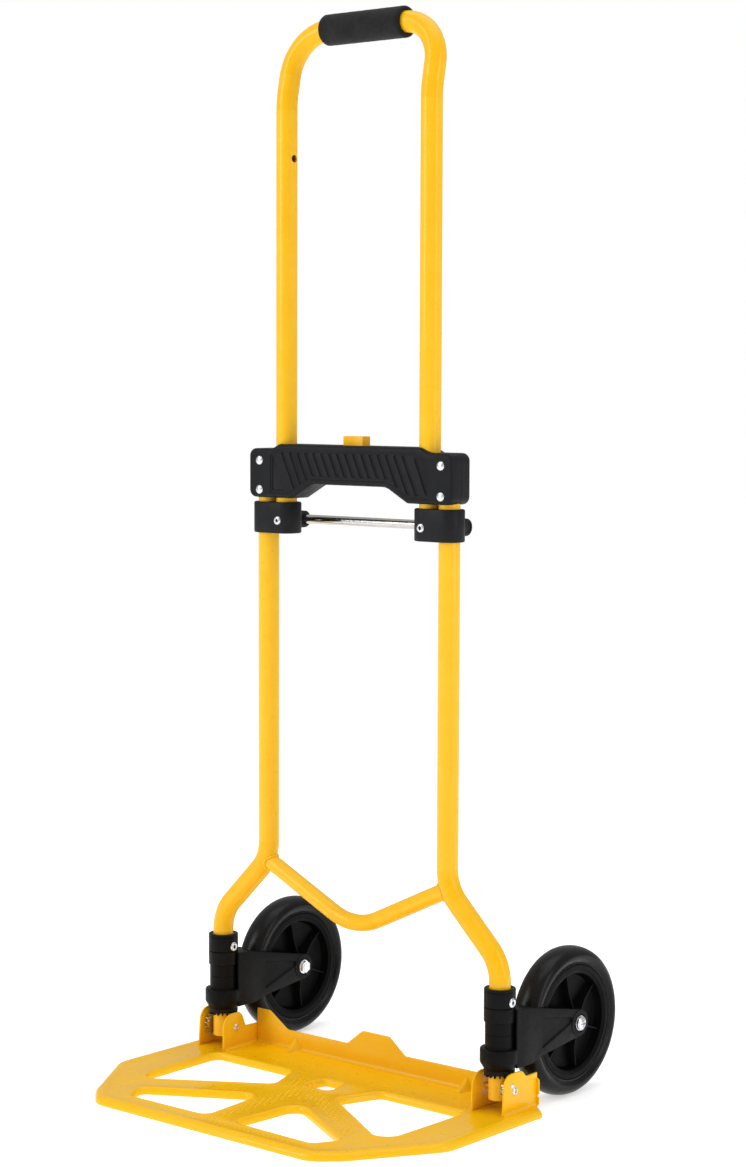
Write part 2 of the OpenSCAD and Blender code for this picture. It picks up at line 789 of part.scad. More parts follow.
left_frame_tube();
right_frame_tube();
cross_brace();
left_collar();
right_collar();
collar_rivets();
bridge_front_shell();
bridge_rear_shell();
bridge_rivets();
left_lock_spring();
right_lock_spring();
release_button();
left_lock_pin();
right_lock_pin();
handle_tube();
foam_grip();
left_slider();
right_slider();
cross_rod();
slider_rivets();
left_wheel_fork();
right_wheel_fork();
left_crown_gear();
right_crown_gear();
left_axle_bolt();
right_axle_bolt();
left_axle_nut();
right_axle_nut();
left_axle_washers();
right_axle_washers();
left_axle_sleeve();
right_axle_sleeve();
left_tyre();
right_tyre();
left_rim();
right_rim();
toe_plate();
back_flange();
left_outer_ear();
right_outer_ear();
left_ear_gear();
right_ear_gear();
toe_hinge_pins();
gear_rivets();
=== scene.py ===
"""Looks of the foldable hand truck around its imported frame.

Shapes are drawn in millimetres about the legs: X across the truck, Y behind the legs, Z up.
place() turns such a point into metres in the shared frame.
"""
import math

import bmesh
import bpy
from mathutils import Matrix, Vector
from mathutils.bvhtree import BVHTree


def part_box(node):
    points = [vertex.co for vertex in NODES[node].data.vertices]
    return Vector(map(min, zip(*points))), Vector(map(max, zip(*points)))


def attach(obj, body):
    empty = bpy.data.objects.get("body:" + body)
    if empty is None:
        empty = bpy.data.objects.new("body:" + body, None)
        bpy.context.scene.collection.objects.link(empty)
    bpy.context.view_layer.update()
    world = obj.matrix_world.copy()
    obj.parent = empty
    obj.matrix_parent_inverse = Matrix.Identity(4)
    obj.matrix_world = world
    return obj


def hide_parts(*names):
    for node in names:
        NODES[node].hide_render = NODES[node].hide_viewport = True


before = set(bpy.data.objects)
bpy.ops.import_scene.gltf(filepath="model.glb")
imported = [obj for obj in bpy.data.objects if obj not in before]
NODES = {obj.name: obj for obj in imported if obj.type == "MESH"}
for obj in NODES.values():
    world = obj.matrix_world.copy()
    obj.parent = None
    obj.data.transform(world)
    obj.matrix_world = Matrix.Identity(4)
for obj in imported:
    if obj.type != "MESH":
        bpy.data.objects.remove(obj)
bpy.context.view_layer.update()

MM = 0.001
SIDES = {"left": -1, "right": 1}


# ---- Places read from the frame, in millimetres ----

def shared_box(node):
    """The lowest and highest corner of a CAD node, in the shared frame."""
    low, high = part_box(node)
    return low / MM, high / MM


collar_low, collar_high = shared_box("right_collar")
LEGS_Y = (collar_low.y + collar_high.y) / 2
LEG_X = (collar_low.x + collar_high.x) / 2
COLLAR_LOW = collar_low.z
COLLAR_HIGH = collar_high.z
COLLAR_R = (collar_high.y - collar_low.y) / 2


def low_high(node):
    """The lowest and highest corner of a CAD node, about the legs."""
    low, high = shared_box(node)
    shift = Vector((0, LEGS_Y, 0))
    return low - shift, high - shift


tyre_low, tyre_high = low_high("right_tyre")
TYRE_R = (tyre_high.z - tyre_low.z) / 2
TYRE_HALF = (tyre_high.x - tyre_low.x) / 2
AXLE_Y = (tyre_low.y + tyre_high.y) / 2
AXLE_Z = (tyre_low.z + tyre_high.z) / 2
rod_low, rod_high = low_high("cross_rod")
ROD_Y = (rod_low.y + rod_high.y) / 2
ROD_Z = (rod_low.z + rod_high.z) / 2

# Driving values of the CAD
FRAME_TUBE_X = 122.4
HANDLE_TUBE_X = 97
HINGE_Z = 29
HALF_DEPTH = 15
SHEET = 2.2
EAR_IN = 17.6
DECK_TOP = 7
TIGHT_BORE_R = 11.02
RUNNING_BORE_R = 11.35


# ---- Mesh helpers ----

def place(point):
    """A point about the legs, in millimetres, as metres in the shared frame."""
    return Vector((point[0], point[1] + LEGS_Y, point[2])) * MM


def linked(name, bm):
    """A new object in the scene that takes over a bmesh."""
    mesh = bpy.data.meshes.new(name)
    bm.to_mesh(mesh)
    bm.free()
    piece = bpy.data.objects.new(name, mesh)
    bpy.context.scene.collection.objects.link(piece)
    return piece


def rounded(corners, steps=6):
    """The outline through corners (u, v, radius), each rounded to its radius."""
    points = []
    for i, (u, v, radius) in enumerate(corners):
        here = Vector((u, v))
        back = (Vector(corners[i - 1][:2]) - here).normalized()
        ahead = (Vector(corners[(i + 1) % len(corners)][:2]) - here).normalized()
        half = back.angle(ahead) / 2
        centre = here + (back + ahead).normalized() * radius / math.sin(half)
        first = here + back * radius / math.tan(half) - centre
        last = here + ahead * radius / math.tan(half) - centre
        turn = first.angle_signed(last)
        for k in range(steps + 1):
            points.append(centre + Matrix.Rotation(-turn * k / steps, 2) @ first)
    return points


def turns_left(corners):
    """Whether the corners run anticlockwise."""
    area = 0
    for i, (u, v, radius) in enumerate(corners):
        area += corners[i - 1][0] * v - u * corners[i - 1][1]
    return area > 0


def grown(corners, by):
    """The corners moved out by a distance, or in by a negative one, with radii to match."""
    side = 1 if turns_left(corners) else -1
    moved = []
    for i, (u, v, radius) in enumerate(corners):
        here = Vector((u, v))
        before = (here - Vector(corners[i - 1][:2])).normalized()
        after = (Vector(corners[(i + 1) % len(corners)][:2]) - here).normalized()
        out_before = Vector((before.y, -before.x)) * side
        out_after = Vector((after.y, -after.x)) * side
        way = (out_before + out_after) / (1 + out_before.dot(out_after))
        convex = side * (before.x * after.y - before.y * after.x) > 0
        new_radius = max(radius + (by if convex else -by), 0.05)
        point = here + way * by
        moved.append((point.x, point.y, new_radius))
    return moved


def with_mirror(corners):
    """The corners followed by their mirror image in the middle plane."""
    return list(corners) + [(-u, v, radius) for u, v, radius in reversed(corners)]


def flat(u, v, h):
    return (u, v, h)


def upright(u, v, h):
    """Draws (u, v) as X and Z, with h as the depth along Y."""
    return (u, h, v)


def sideways(u, v, h):
    """Draws (u, v) as Y and Z, with h along X."""
    return (h, u, v)


class Shape:
    """A mesh that is built up ring by ring, in millimetres about the legs."""

    def __init__(self):
        self.bm = bmesh.new()

    def ring(self, points):
        """One row of vertices."""
        return [self.bm.verts.new(place(p)) for p in points]

    def skin(self, a, b):
        """Faces between two rings of equal length."""
        for i in range(len(a)):
            j = (i + 1) % len(a)
            self.bm.faces.new((a[i], a[j], b[j], b[i]))

    def cap(self, *rings):
        """Faces across a ring, around the rings inside it."""
        edges = []
        for ring in rings:
            for i, vertex in enumerate(ring):
                edge = self.bm.edges.get((ring[i - 1], vertex))
                edges.append(edge or self.bm.edges.new((ring[i - 1], vertex)))
        bmesh.ops.triangle_fill(self.bm, use_beauty=True, edges=edges)

    def loft(self, corners, profile, way, hole=False):
        """Skins an outline through a profile of (distance in from the edge, height)."""
        rings = []
        for inward, height in profile:
            outline = rounded(grown(corners, inward if hole else -inward))
            rings.append(self.ring([way(p.x, p.y, height) for p in outline]))
        for a, b in zip(rings, rings[1:]):
            self.skin(a, b)
        return rings[0], rings[-1]

    def slab(self, corners, low, high, edge, way):
        """A closed slab with rounded-over edges."""
        soft = edge * 0.3
        profile = ((edge, low), (soft, low + soft), (0, low + edge))
        profile += ((0, high - edge), (soft, high - soft), (edge, high))
        for end in self.loft(corners, profile, way):
            self.cap(end)

    def lathe(self, profile, centre, axis, segments=96, closed=True):
        """Turns a closed profile of (radius, distance along the axis) about an axis."""
        rings = []
        for radius, along in profile:
            ring = []
            for k in range(segments):
                angle = 2 * math.pi * k / segments
                u = radius * math.cos(angle)
                v = radius * math.sin(angle)
                offset = {"x": (along, u, v), "y": (v, along, u), "z": (u, v, along)}[axis]
                ring.append([centre[i] + offset[i] for i in range(3)])
            rings.append(self.ring(ring))
        for a, b in zip(rings, rings[1:]):
            self.skin(a, b)
        if closed:
            self.skin(rings[-1], rings[0])
        else:
            self.bm.faces.new(rings[0])
            self.bm.faces.new(rings[-1])

    def ball(self, centre, radius, flatten=1.0):
        matrix = Matrix.Translation(place(centre)) @ Matrix.Diagonal((1, 1, flatten, 1))
        bmesh.ops.create_uvsphere(self.bm, u_segments=10, v_segments=6,
                                  radius=radius * MM, matrix=matrix)

    def object(self, name):
        """The shape as an object, with its faces turned outward."""
        bmesh.ops.recalc_face_normals(self.bm, faces=self.bm.faces)
        return linked(name, self.bm)


def cad_copy(name, node):
    """A welded copy of a CAD node's mesh, with its flat stretches joined, to be finished."""
    bm = bmesh.new()
    bm.from_mesh(NODES[node].data)
    bmesh.ops.remove_doubles(bm, verts=bm.verts, dist=1e-6)
    bmesh.ops.dissolve_limit(bm, angle_limit=math.radians(0.4), verts=bm.verts, edges=bm.edges)
    return linked(name, bm)


def apply_modifiers(piece):
    """Turns what a piece's modifiers make of it into its own mesh."""
    graph = bpy.context.evaluated_depsgraph_get()
    mesh = bpy.data.meshes.new_from_object(piece.evaluated_get(graph))
    piece.modifiers.clear()
    piece.data = mesh


def combined(piece, other, operation):
    """Cuts another object out of a piece, or joins it on, and removes the other object."""
    modifier = piece.modifiers.new("combined", "BOOLEAN")
    modifier.operation = operation
    modifier.solver = "EXACT"
    modifier.object = other
    apply_modifiers(piece)
    bpy.data.objects.remove(other)


def soften(piece, width, segments=2, angle=30):
    """Rounds over the edges of a piece."""
    modifier = piece.modifiers.new("edges", "BEVEL")
    modifier.width = width * MM
    modifier.segments = segments
    modifier.limit_method = "ANGLE"
    modifier.angle_limit = math.radians(angle)
    modifier.harden_normals = False
    apply_modifiers(piece)


def finish_piece(piece, slot, body, *nodes, smooth=32):
    """Shades a piece, gives it its material, and puts it on its body in the nodes' place."""
    piece.data.shade_smooth()
    piece.data.set_sharp_from_angle(angle=math.radians(smooth))
    piece.data.materials.clear()
    piece.data.materials.append(MATERIALS[slot])
    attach(piece, body)
    if nodes:
        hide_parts(*nodes)
    return piece


# ---- Materials ----

class Surface:
    """A principled material whose detail comes from noise in the object's own space."""

    def __init__(self, name, **values):
        self.material = bpy.data.materials.new(name)
        self.material.use_nodes = True
        self.nodes = self.material.node_tree.nodes
        self.links = self.material.node_tree.links
        self.shader = self.nodes["Principled BSDF"]
        for socket, value in values.items():
            self.shader.inputs[socket.replace("_", " ")].default_value = value
        self.where = self.nodes.new("ShaderNodeTexCoord").outputs["Object"]
        self.normal = None

    def stretched(self, scale):
        """The object's own space, scaled along its axes."""
        mapping = self.nodes.new("ShaderNodeMapping")
        mapping.inputs["Scale"].default_value = scale
        self.links.new(self.where, mapping.inputs["Vector"])
        return mapping.outputs["Vector"]

    def noise(self, scale, detail=3, where=None):
        texture = self.nodes.new("ShaderNodeTexNoise")
        texture.inputs["Scale"].default_value = scale
        texture.inputs["Detail"].default_value = detail
        self.links.new(where or self.where, texture.inputs["Vector"])
        return texture.outputs["Fac"]

    def cells(self, scale):
        texture = self.nodes.new("ShaderNodeTexVoronoi")
        texture.inputs["Scale"].default_value = scale
        self.links.new(self.where, texture.inputs["Vector"])
        return texture.outputs["Distance"]

    def edges(self, low=0.52, high=0.62):
        """Bright where the surface bends sharply outward."""
        geometry = self.nodes.new("ShaderNodeNewGeometry")
        return self.between(geometry.outputs["Pointiness"], low, high, 0, 1)

    def between(self, value, low, high, to_low, to_high):
        """A value between low and high, spread over another range and clamped to it."""
        ranged = self.nodes.new("ShaderNodeMapRange")
        ranged.inputs["From Min"].default_value = low
        ranged.inputs["From Max"].default_value = high
        ranged.inputs["To Min"].default_value = to_low
        ranged.inputs["To Max"].default_value = to_high
        self.links.new(value, ranged.inputs["Value"])
        return ranged.outputs["Result"]

    def product(self, a, b):
        """Two values multiplied."""
        node = self.nodes.new("ShaderNodeMath")
        node.operation = "MULTIPLY"
        self.links.new(a, node.inputs[0])
        self.links.new(b, node.inputs[1])
        return node.outputs[0]

    def mixed(self, factor, a, b):
        """Colour a turning into b with the factor; each a tuple or another node's output."""
        mix = self.nodes.new("ShaderNodeMix")
        mix.data_type = "RGBA"
        self.links.new(factor, mix.inputs["Factor"])
        for socket, colour in ((mix.inputs["A"], a), (mix.inputs["B"], b)):
            if isinstance(colour, tuple):
                socket.default_value = (*colour, 1)
            else:
                self.links.new(colour, socket)
        return mix.outputs["Result"]

    def colour(self, source):
        self.links.new(source, self.shader.inputs["Base Color"])

    def roughness(self, source):
        self.links.new(source, self.shader.inputs["Roughness"])

    def bump(self, height, strength, distance):
        """Adds a bump on top of the earlier ones."""
        node = self.nodes.new("ShaderNodeBump")
        node.inputs["Strength"].default_value = strength
        node.inputs["Distance"].default_value = distance
        self.links.new(height, node.inputs["Height"])
        if self.normal:
            self.links.new(self.normal, node.inputs["Normal"])
        self.normal = node.outputs["Normal"]
        self.links.new(self.normal, self.shader.inputs["Normal"])


def powder_coat(name, base, deep, peel):
    """Glossy powder coat: orange peel, a little cloudiness, paler and worn on the edges."""
    s = Surface(name, Coat_Weight=0.13, Coat_Roughness=0.08, Specular_IOR_Level=0.22)
    clouds = s.between(s.noise(14, 4), 0.35, 0.7, 0, 1)
    painted = s.mixed(clouds, base, deep)
    s.colour(s.mixed(s.product(s.edges(), s.noise(60, 4)), painted, (1.0, 0.58, 0.03)))
    s.roughness(s.between(s.noise(90, 3), 0.3, 0.7, 0.26, 0.34))
    s.bump(s.noise(900, 2), peel, 0.0004)
    s.bump(s.noise(160, 2), peel * 0.6, 0.001)
    return s.material


PLASTIC_GRAIN = 2600


def moulded_plastic(name, base, worn, roughness, shine):
    """Moulded plastic with a fine spark-eroded grain and slightly scuffed edges."""
    s = Surface(name, Specular_IOR_Level=shine)
    clouds = s.between(s.noise(35, 4), 0.35, 0.7, 0, 1)
    cloudy = s.mixed(clouds, base, tuple(c * 0.8 for c in base))
    s.colour(s.mixed(s.product(s.edges(), s.noise(180, 4)), cloudy, worn))
    s.roughness(s.between(s.noise(120, 4), 0.3, 0.7, roughness - 0.06, roughness + 0.08))
    s.bump(s.noise(PLASTIC_GRAIN, 2), 0.22, 0.0002)
    s.bump(s.noise(70, 2), 0.05, 0.001)
    return s.material


def foam():
    """Closed-cell foam: dull, finely pored and slightly uneven."""
    s = Surface("grip_foam", Sheen_Weight=0.04, Sheen_Roughness=0.5, Specular_IOR_Level=0.15)
    tone = s.between(s.noise(60, 5), 0.3, 0.7, 0, 1)
    s.colour(s.mixed(tone, (0.009, 0.009, 0.0098), (0.017, 0.017, 0.018)))
    s.roughness(s.between(s.noise(300, 3), 0.3, 0.7, 0.62, 0.82))
    s.bump(s.cells(1500), 0.22, 0.0005)
    s.bump(s.noise(220, 4), 0.12, 0.0008)
    return s.material


def rubber():
    """Solid rubber with a soft shine, faint dust and fine grain."""
    s = Surface("tyre_rubber", Specular_IOR_Level=0.17)
    dust = s.product(s.noise(50, 6), s.edges(0.5, 0.6))
    s.colour(s.mixed(dust, (0.004, 0.004, 0.0044), (0.014, 0.014, 0.014)))
    s.roughness(s.between(s.noise(80, 5), 0.3, 0.7, 0.2, 0.34))
    s.bump(s.noise(1300, 3), 0.2, 0.0003)
    return s.material


def metal(name, bright, dull, roughness, scratch=(1, 1, 1), strength=0.08):
    """Plated metal with cloudy plating and fine scratches along one direction."""
    s = Surface(name, Metallic=1.0)
    clouds = s.between(s.noise(140, 5), 0.35, 0.7, 0, 1)
    s.colour(s.mixed(clouds, bright, dull))
    s.roughness(s.between(s.noise(260, 4), 0.3, 0.7, roughness - 0.05, roughness + 0.1))
    s.bump(s.noise(1400, 2, s.stretched(scratch)), strength, 0.0002)
    return s.material


MATERIALS = {
    "painted_tube": powder_coat("painted_tube", (0.95, 0.51, 0.0015), (0.94, 0.49, 0.001),
                                peel=0.1),
    "painted_sheet": powder_coat("painted_sheet", (0.98, 0.55, 0.0015), (0.965, 0.525, 0.001),
                                 peel=0.03),
    "fork_plastic": moulded_plastic("fork_plastic", (0.003, 0.003, 0.0033),
                                    (0.014, 0.014, 0.015), 0.42, shine=0.1),
    "bridge_plastic": moulded_plastic("bridge_plastic", (0.0085, 0.0088, 0.0102),
                                      (0.032, 0.032, 0.036), 0.46, shine=0.13),
    "button_plastic": moulded_plastic("button_plastic", (0.96, 0.5, 0.002),
                                      (0.97, 0.54, 0.02), 0.36, shine=0.3),
    "zinc_steel": metal("zinc_steel", (0.82, 0.83, 0.85), (0.66, 0.67, 0.70), 0.24),
    "gear_metal": metal("gear_metal", (0.62, 0.50, 0.26), (0.50, 0.47, 0.42), 0.32),
    "chrome_rod": metal("chrome_rod", (0.58, 0.575, 0.56), (0.50, 0.50, 0.50), 0.10,
                        scratch=(0.02, 1, 1), strength=0.05),
    "grip_foam": foam(),
    "tyre_rubber": rubber(),
    "rim_plastic": moulded_plastic("rim_plastic", (0.0025, 0.0025, 0.0028),
                                   (0.01, 0.01, 0.01), 0.4, shine=0.06),
}


def dress_cad_nodes():
    """Every carried-over CAD node takes the procedural material of its own slot."""
    for node in NODES.values():
        for slot in node.material_slots:
            slot.material = MATERIALS[slot.material.name.split(".")[0]]


# ---- Camera, light and floor ----

CAMERA_AT = (1.7, -1.95275, 0.7359)
CAMERA_AZIMUTH = 40.314
CAMERA_PITCH = 4.648
CAMERA_ROLL = 0.193
CAMERA_LENS = 78.257
CAMERA_SENSOR = 36
WHITE = (1, 1, 1, 1)
FLOOR_HALF = 12
MIDDLE = (0, 0, 0.5)
SOFT_BOXES = (("key", (-1.5, -2.3, 1.7), MIDDLE, (0.9, 1.9), 29),
              ("side", (2.6, 0.2, 1.2), MIDDLE, (0.7, 2.2), 14),
              ("top", (0.2, 0.2, 2.8), (0, 0, 0), (2.0, 2.0), 19))


def set_camera():
    """A long lens to the front right of the truck, a little above the middle."""
    azimuth = math.radians(CAMERA_AZIMUTH)
    pitch = math.radians(CAMERA_PITCH)
    roll = math.radians(CAMERA_ROLL)
    ahead = Vector((-math.sin(azimuth) * math.cos(pitch),
                    math.cos(azimuth) * math.cos(pitch), -math.sin(pitch)))
    right = Vector((math.cos(azimuth), math.sin(azimuth), 0))
    up = right.cross(ahead)
    right, up = (math.cos(roll) * right + math.sin(roll) * up,
                 math.cos(roll) * up - math.sin(roll) * right)
    data = bpy.data.cameras.new("camera")
    data.lens = CAMERA_LENS
    data.sensor_width = CAMERA_SENSOR
    camera = bpy.data.objects.new("camera", data)
    camera.matrix_world = Matrix.Translation(CAMERA_AT) @ Matrix(
        (right, up, -ahead)).transposed().to_4x4()
    bpy.context.scene.collection.objects.link(camera)
    bpy.context.scene.camera = camera


def area_light(name, position, target, size, power):
    """A rectangular soft box that points at a target."""
    data = bpy.data.lights.new(name, "AREA")
    data.shape = "RECTANGLE"
    data.size, data.size_y = size
    data.energy = power
    light = bpy.data.objects.new(name, data)
    direction = Vector(target) - Vector(position)
    light.matrix_world = Matrix.Translation(position) @ direction.to_track_quat(
        "-Z", "Y").to_matrix().to_4x4()
    bpy.context.scene.collection.objects.link(light)


def set_surroundings():
    """White behind the object; the light that falls on it is brighter above than at the sides."""
    world = bpy.data.worlds.new("studio")
    world.use_nodes = True
    nodes, links = world.node_tree.nodes, world.node_tree.links
    soft = nodes["Background"]
    soft.inputs["Color"].default_value = WHITE
    white = nodes.new("ShaderNodeBackground")
    white.inputs["Color"].default_value = WHITE
    white.inputs["Strength"].default_value = 1.0
    where = nodes.new("ShaderNodeTexCoord")
    parts = nodes.new("ShaderNodeSeparateXYZ")
    links.new(where.outputs["Generated"], parts.inputs["Vector"])
    rise = nodes.new("ShaderNodeMapRange")
    for socket, value in (("From Min", -0.3), ("From Max", 0.9), ("To Min", 0.33),
                          ("To Max", 0.62)):
        rise.inputs[socket].default_value = value
    links.new(parts.outputs["Z"], rise.inputs["Value"])
    links.new(rise.outputs["Result"], soft.inputs["Strength"])
    path = nodes.new("ShaderNodeLightPath")
    choice = nodes.new("ShaderNodeMixShader")
    links.new(path.outputs["Is Camera Ray"], choice.inputs["Fac"])
    links.new(soft.outputs["Background"], choice.inputs[1])
    links.new(white.outputs["Background"], choice.inputs[2])
    links.new(choice.outputs["Shader"], nodes["World Output"].inputs["Surface"])
    bpy.context.scene.world = world


def set_studio():
    """Three large soft boxes in bright surroundings."""
    for soft_box in SOFT_BOXES:
        area_light(*soft_box)
    set_surroundings()
    bpy.context.scene.view_settings.view_transform = "Standard"


def set_floor():
    """A pale floor that glows a little, so that it stays white far from the lights."""
    bm = bmesh.new()
    bmesh.ops.create_grid(bm, x_segments=1, y_segments=1, size=FLOOR_HALF)
    floor = linked("floor", bm)
    pale = Surface("floor", Roughness=0.8, Emission_Color=WHITE, Emission_Strength=0.5)
    pale.colour(pale.mixed(pale.noise(3), (0.92, 0.92, 0.92), (0.935, 0.935, 0.935)))
    floor.data.materials.append(pale.material)


# ---- Wheels, forks and collars ----

ARM_IN = 16.6
ARM_OUT = 19.4
BOSS_OUT = 20.3
POCKET_DEPTH = 1.6
RIB_COUNT = 6
RIB_START = 40


def mirrored_x(side, dx):
    """The X of a place that lies dx outside the leg of one side."""
    return side * (LEG_X + dx)


def tyre(side, name):
    """A solid tyre: rounded tread, a raised sidewall band and a groove next to the rim."""
    half = TYRE_HALF
    edge = [(59.0, 12.6), (59.6, 13.4), (60.6, 13.2), (61.4, 12.8), (62.4, 13.4), (64.0, 14.6),
            (66.0, half), (68.5, half), (70.5, 14.7), (72.6, 13.1), (74.4, 10.8),
            (75.8, 7.6), (76.6, 4.2), (TYRE_R, 1.0)]
    profile = edge + [(r, -x) for r, x in reversed(edge)]
    shape = Shape()
    shape.lathe(profile, (mirrored_x(side, 0), AXLE_Y, AXLE_Z), "x", 144)
    finish_piece(shape.object(name + "_tyre_moulded"), "tyre_rubber", name + "_wheel",
                 name + "_tyre", smooth=40)


def rim(side, name):
    """A dished rim with a stepped ring, a hub and six thin ribs on each face."""
    centre = (mirrored_x(side, 0), AXLE_Y, AXLE_Z)
    edge = [(6.15, 0), (6.15, 16.2), (12.4, 16.2), (14.0, 15.2), (14.0, 4.6), (15.6, 3.0),
            (18, 2.4), (44, 2.0), (47.6, 3.2), (49.2, 6.2), (50.2, 11.6), (51.4, 12.6),
            (53.4, 12.8), (53.8, 13.4), (58.2, 13.4), (59.0, 12.8)]
    profile = edge + [(r, -x) for r, x in reversed(edge[1:])]
    shape = Shape()
    shape.lathe(profile, centre, "x", 120)
    for k in range(RIB_COUNT):
        angle = math.radians(RIB_START + 360 / RIB_COUNT * k)
        along = Vector((0, math.cos(angle), math.sin(angle)))
        across = Vector((0, -math.sin(angle), math.cos(angle)))
        for face in (-1, 1):
            foot = [(11, 2, 1.1), (11, 14.5, 0.55), (30, 9.6, 0.55), (51, 9.0, 0.55),
                    (51, 2, 1.1)]
            rings = []
            for way in (-1, 1):
                rings.append(shape.ring([
                    Vector(centre) + along * r + across * way * t + Vector((face * x, 0, 0))
                    for r, x, t in foot]))
            shape.skin(*rings)
            for ring in rings:
                shape.cap(ring)
    finish_piece(shape.object(name + "_rim_moulded"), "rim_plastic", name + "_wheel",
                 name + "_rim", smooth=35)


ARM = ((4, 51, 0.6), (30, 51, 4), (46, 55.5, 10), (109.5, 63, 0.6), (112.3, 90.7, 0.6),
       (24, 109, 6), (4, 111, 0.6))
ARM_POCKET = ((46, 94.5, 1.6), (98, 85.2, 2.5), (96.5, 79.5, 3.5), (46, 62.5, 1.6))


def fork_arm(shape, side, dx_low, dx_high, pocket_up):
    """A flat arm with a pressed-in pocket on its outer face."""
    low, high = sorted((mirrored_x(side, dx_low), mirrored_x(side, dx_high)))
    edge, soft = 0.8, 0.25
    profile = [(edge, low), (soft, low + soft), (0, low + edge)]
    profile += [(0, high - edge), (soft, high - soft), (edge, high)]
    bottom, top = shape.loft(ARM, profile, sideways)
    outer = high if pocket_up else low
    inner = outer - POCKET_DEPTH if pocket_up else outer + POCKET_DEPTH
    pocket = [(0, outer), (0.5, inner + (outer - inner) * 0.3), (1.1, inner)]
    rings = []
    for inward, x in pocket:
        outline = rounded(grown(ARM_POCKET, -inward))
        rings.append(shape.ring([(x, p.x, p.y) for p in outline]))
    for a, b in zip(rings, rings[1:]):
        shape.skin(a, b)
    shape.cap(rings[-1])
    shape.cap(top if pocket_up else bottom, rings[0])
    shape.cap(bottom if pocket_up else top)


def swivel_barrel(side, name):
    """The barrel that turns on the leg, with its rings and the wide skirt below."""
    shape = Shape()
    profile = [(RUNNING_BORE_R, 49.4), (11.8, 49), (15.2, 49), (15.6, 49.4), (19.4, 56),
               (19.7, 56.8), (19.7, 69.0), (19.2, 70.2), (18.4, 70.5), (15.1, 70.5), (14.7, 71.0),
               (14.7, 84.2), (14.3, 84.5), (14.3, 85.1), (14.7, 85.4), (14.7, 96.6),
               (15.3, 97.2), (15.8, 97.4), (16.0, 97.9), (16.0, 111.2), (15.6, 111.6),
               (11.8, 111.6), (RUNNING_BORE_R, 111.2)]
    shape.lathe(profile, (mirrored_x(side, 0), 0, 0), "z", 96)
    return shape.object(name + "_swivel_barrel")


def fork_arms(side, name):
    """The two arms, each with a stepped boss around the axle."""
    shape = Shape()
    for way in (1, -1):
        low, high = sorted((way * ARM_IN, way * ARM_OUT))
        fork_arm(shape, side, low, high, way * side > 0)
        boss = [(4.2, ARM_IN), (14, ARM_IN), (14, BOSS_OUT - 0.9), (13.2, BOSS_OUT),
                (9.6, BOSS_OUT), (9.0, BOSS_OUT - 0.8), (4.2, BOSS_OUT - 0.8)]
        shape.lathe([(r, side * way * x) for r, x in boss],
                    (mirrored_x(side, 0), AXLE_Y, AXLE_Z), "x", 64)
    return shape.object(name + "_fork_arms")


def fork(side, name):
    """One wheel fork: barrel, arms and the web between them."""
    body = name + "_bracket"
    finish_piece(swivel_barrel(side, name), "fork_plastic", body, name + "_wheel_fork")
    finish_piece(fork_arms(side, name), "fork_plastic", body)
    finish_piece(fork_web(side, name), "fork_plastic", body)


def fork_web(side, name):
    """The block that joins the barrel to both arms, hollowed around the tyre."""
    reach = 17.4
    front, bottom, top = 13.0, 53.5, 107
    steps = 14
    clear = TYRE_R + 4
    shape = Shape()
    rings = []
    for dx in (-reach, reach):
        points = [(front, bottom), (front, top)]
        high = math.asin((top - AXLE_Z) / clear)
        low = math.asin((bottom - AXLE_Z) / clear)
        for k in range(steps + 1):
            angle = high + (low - high) * k / steps
            points.append((AXLE_Y - clear * math.cos(angle), AXLE_Z + clear * math.sin(angle)))
        rings.append(shape.ring([(mirrored_x(side, dx), y, z) for y, z in points]))
    shape.skin(*rings)
    for ring in rings:
        shape.cap(ring)
    web = shape.object(name + "_fork_web")
    soften(web, 0.6)
    return web


def collar(side, name):
    """The ring above the barrel, with a fine groove near its top."""
    shape = Shape()
    low, high, r = COLLAR_LOW, COLLAR_HIGH, COLLAR_R
    profile = [(TIGHT_BORE_R, low + 0.3), (11.4, low), (r - 0.6, low), (r, low + 0.6),
               (r, high - 3.4), (r - 0.35, high - 3.1), (r - 0.35, high - 2.8), (r, high - 2.5),
               (r, high - 0.7), (r - 0.7, high), (12.4, high), (11.6, high - 0.5),
               (TIGHT_BORE_R, high - 1.2)]
    shape.lathe(profile, (mirrored_x(side, 0), 0, 0), "z", 96)
    finish_piece(shape.object(name + "_collar_moulded"), "fork_plastic", "frame",
                 name + "_collar")


# ---- Rivets and pins ----

def rivet(shape, centre, axis, half, shank_r, r, height, hollow=True):
    """A shank with, at both ends, a dome or a head rolled over around a small hole."""
    if hollow:
        end = [(r * 0.40, half - 2.0), (r * 0.36, half + height * 0.45),
               (r * 0.46, half + height * 0.95), (r * 0.62, half + height),
               (r * 0.84, half + height * 0.72)]
    else:
        end = [(0.4, half + height), (r * 0.45, half + height * 0.93),
               (r * 0.8, half + height * 0.65)]
    end += [(r * 0.97, half + height * 0.3), (r, half), (shank_r, half - 0.1)]
    profile = end + [(a, -b) for a, b in reversed(end)]
    shape.lathe(profile, centre, axis, 36, closed=False)


def rivets(node, body, axis, centres, half, shank_r, r, height, hollow=True):
    """The rivets of one CAD node, as one piece."""
    shape = Shape()
    for centre in centres:
        rivet(shape, centre, axis, half, shank_r, r, height, hollow)
    finish_piece(shape.object(node + "_headed"), "zinc_steel", body, node, smooth=50)


BRIDGE_RIVET_Z = (617.7, 648.4)
SLIDER_RIVET_Z = 585.7
COLLAR_RIVET_Z = 117.7
GEAR_RIVET_Y = -4.7
GEAR_RIVET_UP = 6.4


